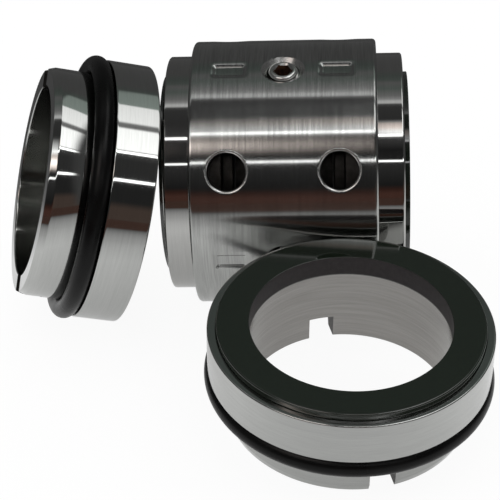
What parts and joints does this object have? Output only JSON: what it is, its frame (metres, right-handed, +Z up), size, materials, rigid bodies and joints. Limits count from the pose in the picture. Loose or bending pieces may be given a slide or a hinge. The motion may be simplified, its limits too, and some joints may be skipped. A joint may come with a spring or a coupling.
{
  "type": "double component mechanical seal",
  "caption": "Double mechanical seal for a shaft: steel drive shell with spring-loaded rings at both ends and stationary seats with black faces.",
  "frame": {"origin": "on the shaft axis at the middle of the drive shell's centre web", "axes": "+X along the shaft, +Z up, the loose seats stand at -X and at -Y"},
  "size_m": [0.1227, 0.1323, 0.0676],
  "materials": {
    "shell_steel": "turned stainless steel, fine turning lines round the shell",
    "ring_steel": "finely turned stainless steel",
    "seat_steel": "finely turned, almost bright stainless steel",
    "screw_steel": "bright stainless steel",
    "spring_steel": "drawn stainless steel wire",
    "black_carbide": "lapped black silicon carbide",
    "black_rubber": "satin black fluoroelastomer"
  },
  "bodies": {
    "root": {"drive_shell": "shell_steel", "left_spring_1": "spring_steel", "left_spring_2": "spring_steel", "left_spring_3": "spring_steel", "left_spring_4": "spring_steel", "left_spring_5": "spring_steel", "left_spring_6": "spring_steel", "left_spring_7": "spring_steel", "left_spring_8": "spring_steel", "right_spring_1": "spring_steel", "right_spring_2": "spring_steel", "right_spring_3": "spring_steel", "right_spring_4": "spring_steel", "right_spring_5": "spring_steel", "right_spring_6": "spring_steel", "right_spring_7": "spring_steel", "right_spring_8": "spring_steel", "left_seat_body": "seat_steel", "left_seat_insert": "black_carbide", "left_seat_oring": "black_rubber", "front_seat_body": "seat_steel", "front_seat_insert": "black_carbide", "front_seat_oring": "black_rubber"},
    "left_seal_ring": {"left_ring_carrier": "ring_steel", "left_ring_face": "black_carbide", "left_thrust_ring": "ring_steel", "left_shaft_oring": "black_rubber"},
    "right_seal_ring": {"right_ring_carrier": "ring_steel", "right_ring_face": "black_carbide", "right_thrust_ring": "ring_steel", "right_shaft_oring": "black_rubber"},
    "screw_1": {"set_screw_1": "screw_steel"},
    "screw_2": {"set_screw_2": "screw_steel"},
    "screw_3": {"set_screw_3": "screw_steel"},
    "screw_4": {"set_screw_4": "screw_steel"}
  },
  "joints": [
    {"name": "left_ring_slide", "type": "slide", "parent": "root", "child": "left_seal_ring", "axis": [1, 0, 0], "range_m": [0, 0.003], "stiffness_N_per_m": 16000, "springref_m": -0.004, "deforming": ["left_spring_1", "left_spring_2", "left_spring_3", "left_spring_4", "left_spring_5", "left_spring_6", "left_spring_7", "left_spring_8"]},
    {"name": "right_ring_slide", "type": "slide", "parent": "root", "child": "right_seal_ring", "axis": [-1, 0, 0], "range_m": [0, 0.003], "stiffness_N_per_m": 16000, "springref_m": -0.004, "deforming": ["right_spring_1", "right_spring_2", "right_spring_3", "right_spring_4", "right_spring_5", "right_spring_6", "right_spring_7", "right_spring_8"]},
    {"name": "set_screw_1_drive", "type": "slide", "parent": "root", "child": "screw_1", "axis": [0, 0.247, -0.969], "range_m": [0, 0.0028]},
    {"name": "set_screw_2_drive", "type": "slide", "parent": "root", "child": "screw_2", "axis": [0, 0.969, 0.247], "range_m": [0, 0.0028]},
    {"name": "set_screw_3_drive", "type": "slide", "parent": "root", "child": "screw_3", "axis": [0, -0.247, 0.969], "range_m": [0, 0.0028]},
    {"name": "set_screw_4_drive", "type": "slide", "parent": "root", "child": "screw_4", "axis": [0, -0.969, -0.247], "range_m": [0, 0.0028]}
  ]
}
